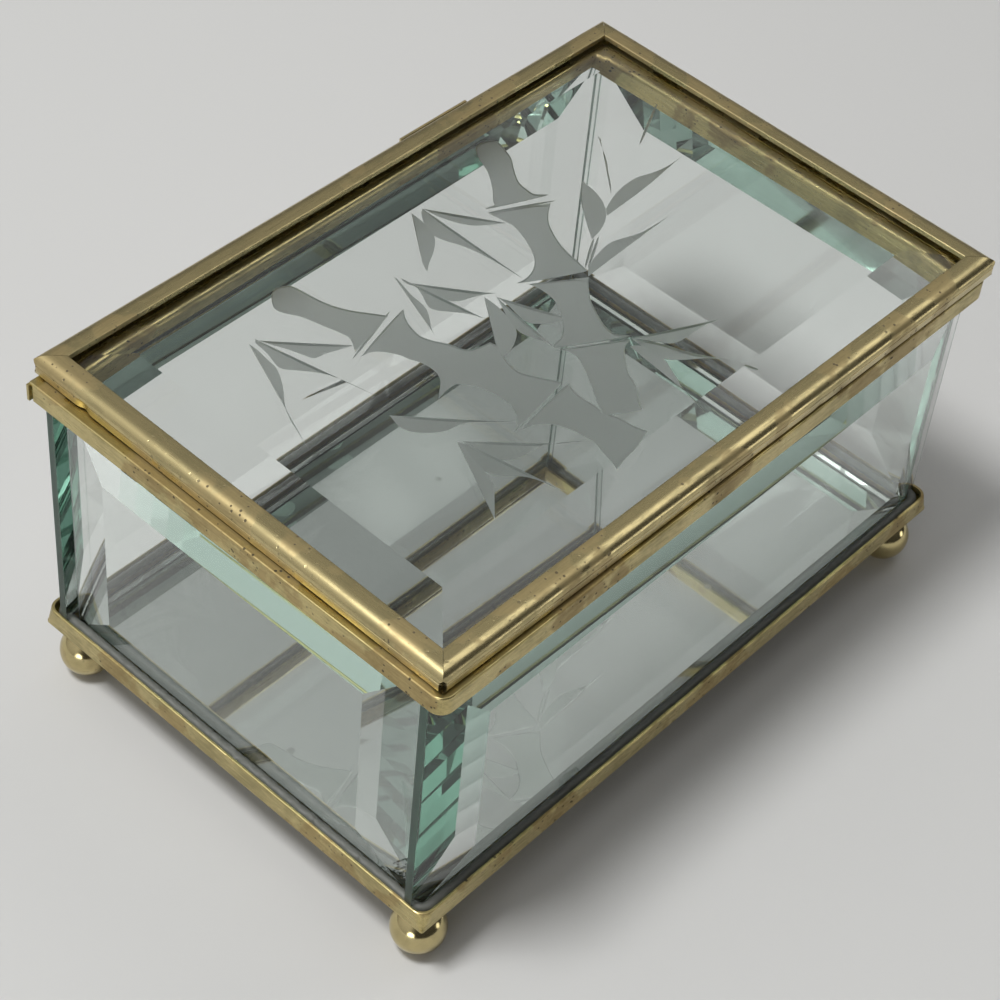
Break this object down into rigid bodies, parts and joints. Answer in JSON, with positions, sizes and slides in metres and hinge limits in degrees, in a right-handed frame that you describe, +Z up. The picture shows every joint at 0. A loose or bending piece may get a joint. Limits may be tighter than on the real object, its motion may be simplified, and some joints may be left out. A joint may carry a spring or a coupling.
{
  "type": "glass casket box",
  "caption": "Rectangular brass-framed casket with bevelled clear glass panes, mirror floor, ball feet and hinged lid.",
  "frame": {"origin": "on the floor under the ball feet, below the middle of the box's whole footprint", "axes": "+X along the long side, to the right seen from the front; +Y from the front towards the hinge at the back; +Z up"},
  "size_m": [0.1544, 0.1042, 0.0825],
  "materials": {
    "case_brass": "aged, satin, mottled",
    "lid_brass": "aged, worn satin with small pits",
    "foot_brass": "polished, lightly tarnished",
    "hinge_brass": "aged satin",
    "pane_glass": "clear, ground and polished bevels",
    "lid_glass": "clear, bevelled, with a cut bamboo ornament",
    "mirror": "silvered glass"
  },
  "bodies": {
    "case": {"base_rim_front": "case_brass", "base_rim_right": "case_brass", "base_rim_back": "case_brass", "base_rim_left": "case_brass", "top_rim_front": "case_brass", "top_rim_right": "case_brass", "top_rim_back": "case_brass", "top_rim_left": "case_brass", "pane_front": "pane_glass", "pane_right": "pane_glass", "pane_back": "pane_glass", "pane_left": "pane_glass", "mirror_floor": "mirror", "foot_front_left": "foot_brass", "foot_front_right": "foot_brass", "foot_back_left": "foot_brass", "foot_back_right": "foot_brass", "hinge_body_leaf_left": "hinge_brass", "hinge_body_leaf_right": "hinge_brass", "hinge_pin_left": "hinge_brass", "hinge_pin_right": "hinge_brass"},
    "lid": {"lid_rail_front": "lid_brass", "lid_rail_right": "lid_brass", "lid_rail_back": "lid_brass", "lid_rail_left": "lid_brass", "lid_pane": "lid_glass", "hinge_lid_leaf_left": "hinge_brass", "hinge_lid_leaf_right": "hinge_brass"}
  },
  "joints": [
    {"name": "lid_hinge", "type": "hinge", "parent": "case", "child": "lid", "pos_m": [-0.00074, 0.05103, 0.0773], "axis": [-1, 0, 0], "range_deg": [0, 105]}
  ]
}
